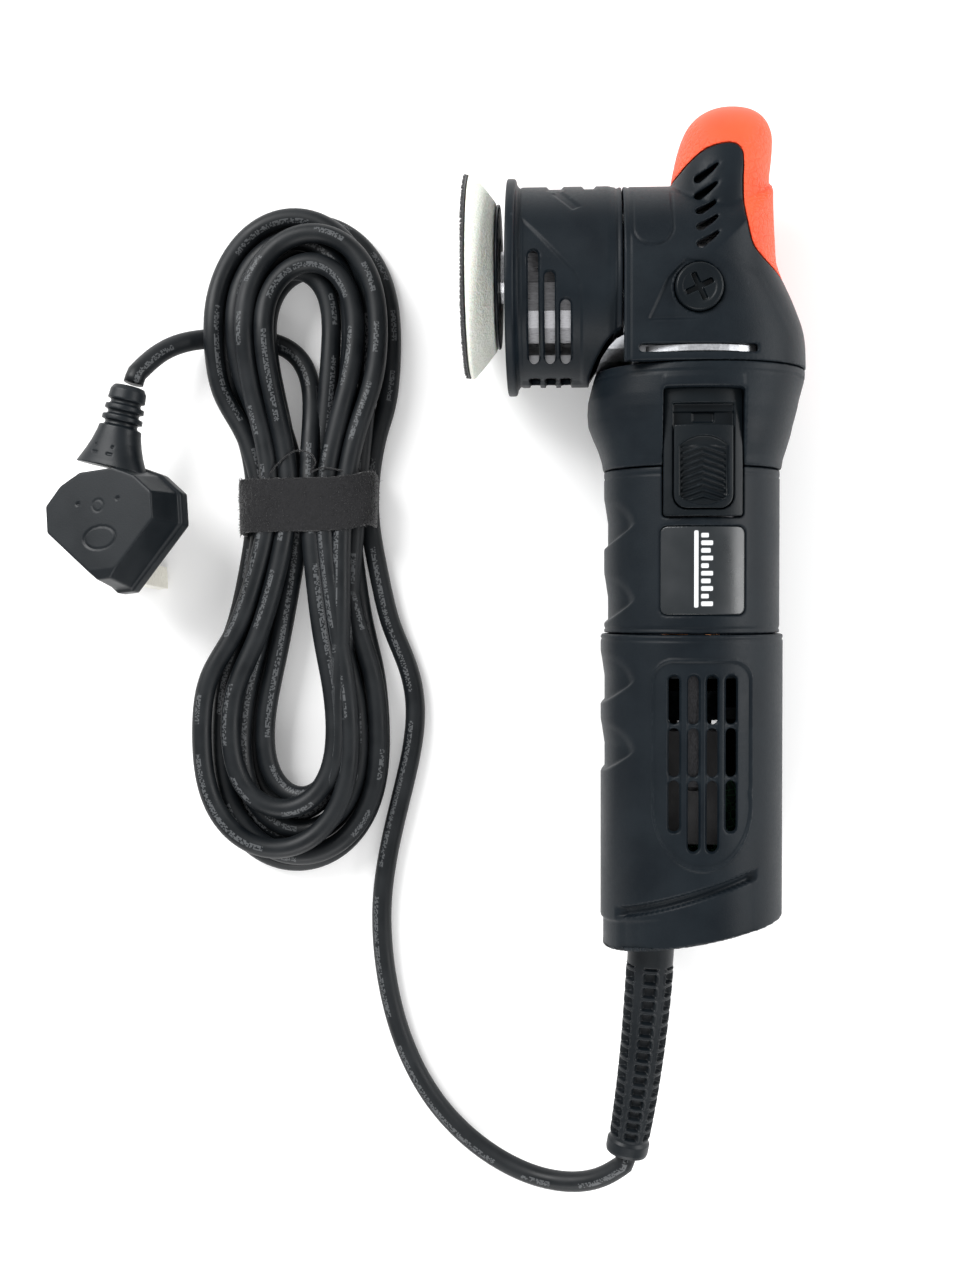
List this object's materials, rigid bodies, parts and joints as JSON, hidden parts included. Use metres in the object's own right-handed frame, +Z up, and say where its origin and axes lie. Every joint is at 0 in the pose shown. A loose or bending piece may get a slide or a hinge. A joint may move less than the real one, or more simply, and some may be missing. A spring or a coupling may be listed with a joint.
{
  "type": "dual action polisher",
  "caption": "Compact orbital polisher with a foam-backed hook plate, round shroud, orange palm grip and slide switch, its mains cord tied in a hank beside it.",
  "frame": {"origin": "on the table, under the middle of the polisher's bounding box without its cord", "axes": "+Z up from the table, +Y along the barrel from the cord end to the palm grip, -X from the barrel towards the plate"},
  "size_m": [0.2698, 0.382, 0.074],
  "materials": {
    "black_nylon": "fine spark-textured moulded nylon",
    "badge": "smooth satin inlay",
    "orange_grip": "soft overmould with a scaly grain",
    "white_foam": "closed-cell foam",
    "hook_pile": "short stiff pile",
    "cord_rubber": "smooth dull rubber",
    "steel": "ground and turned steel",
    "cast_alloy": "die-cast alloy",
    "copper": "enamelled copper wire",
    "carbon": "pressed carbon and dark moulding",
    "circuit_board": "green lacquered board",
    "plug_pin": "nickel-plated brass"
  },
  "bodies": {
    "housing": {"gear_case": "cast_alloy", "spindle_bearing_upper": "steel", "spindle_bearing_lower": "steel", "bearing_retainer": "cast_alloy", "armature_bearing_front": "steel", "head_cover": "black_nylon", "palm_grip": "orange_grip", "side_screw_left": "black_nylon", "side_screw_right": "black_nylon", "shroud": "black_nylon", "shroud_screw_1": "steel", "shroud_screw_2": "steel", "fan_housing": "black_nylon", "baffle_ring": "black_nylon", "motor_housing": "black_nylon", "badge_plate": "badge", "stator_core": "steel", "field_coil_left": "copper", "field_coil_right": "copper", "brush_carrier": "black_nylon", "carbon_brush_left": "carbon", "carbon_brush_right": "carbon", "bearing_bridge": "black_nylon", "armature_bearing_rear": "steel", "switch_bezel": "black_nylon", "switch_block": "carbon", "rear_cover": "black_nylon", "speed_module": "circuit_board", "cord_clamp": "black_nylon", "cord_boot": "cord_rubber", "cord_free": "cord_rubber", "cord_lead": "cord_rubber", "cord_hank": "cord_rubber", "hank_strap": "hook_pile", "plug_body": "cord_rubber", "plug_relief": "cord_rubber", "pin_live": "plug_pin", "pin_neutral": "plug_pin", "pin_earth": "plug_pin"},
    "eccentric": {"spindle": "steel", "ring_gear": "steel", "counterweight": "steel", "orbit_bearing": "steel", "bearing_circlip": "steel"},
    "plate": {"orbit_shaft": "steel", "plate_base": "black_nylon", "foam_cushion": "white_foam", "hook_disc": "hook_pile", "plate_bolt": "steel"},
    "armature": {"armature_shaft": "steel", "bevel_pinion": "steel", "armature_core": "steel", "winding_front": "copper", "winding_rear": "copper", "commutator": "copper", "cooling_fan": "black_nylon"},
    "slider": {"slide_button": "black_nylon", "switch_link": "steel"},
    "dial": {"speed_dial": "black_nylon"}
  },
  "joints": [
    {"name": "spindle_spin", "type": "hinge", "parent": "housing", "child": "eccentric", "pos_m": [0.01963, 0.08381, 0.03711], "axis": [1, 0, 0], "continuous": true},
    {"name": "armature_spin", "type": "hinge", "parent": "housing", "child": "armature", "pos_m": [0.01963, 0.08381, 0.03711], "axis": [0, 0.9997, 0.0262], "continuous": true},
    {"name": "plate_spin", "type": "hinge", "parent": "eccentric", "child": "plate", "pos_m": [0.01963, 0.08781, 0.03721], "axis": [1, 0, 0], "continuous": true},
    {"name": "switch_slide", "type": "slide", "parent": "housing", "child": "slider", "axis": [0, 0.9997, 0.0262], "range_m": [0, 0.0069]},
    {"name": "speed_dial_turn", "type": "hinge", "parent": "housing", "child": "dial", "pos_m": [0.03163, -0.1263, 0.0196], "axis": [0, -0.0262, 0.9997], "range_deg": [0, 270]}
  ],
  "couplings": [
    {"joint": "armature_spin", "follows": "spindle_spin", "ratio": -3.2}
  ]
}
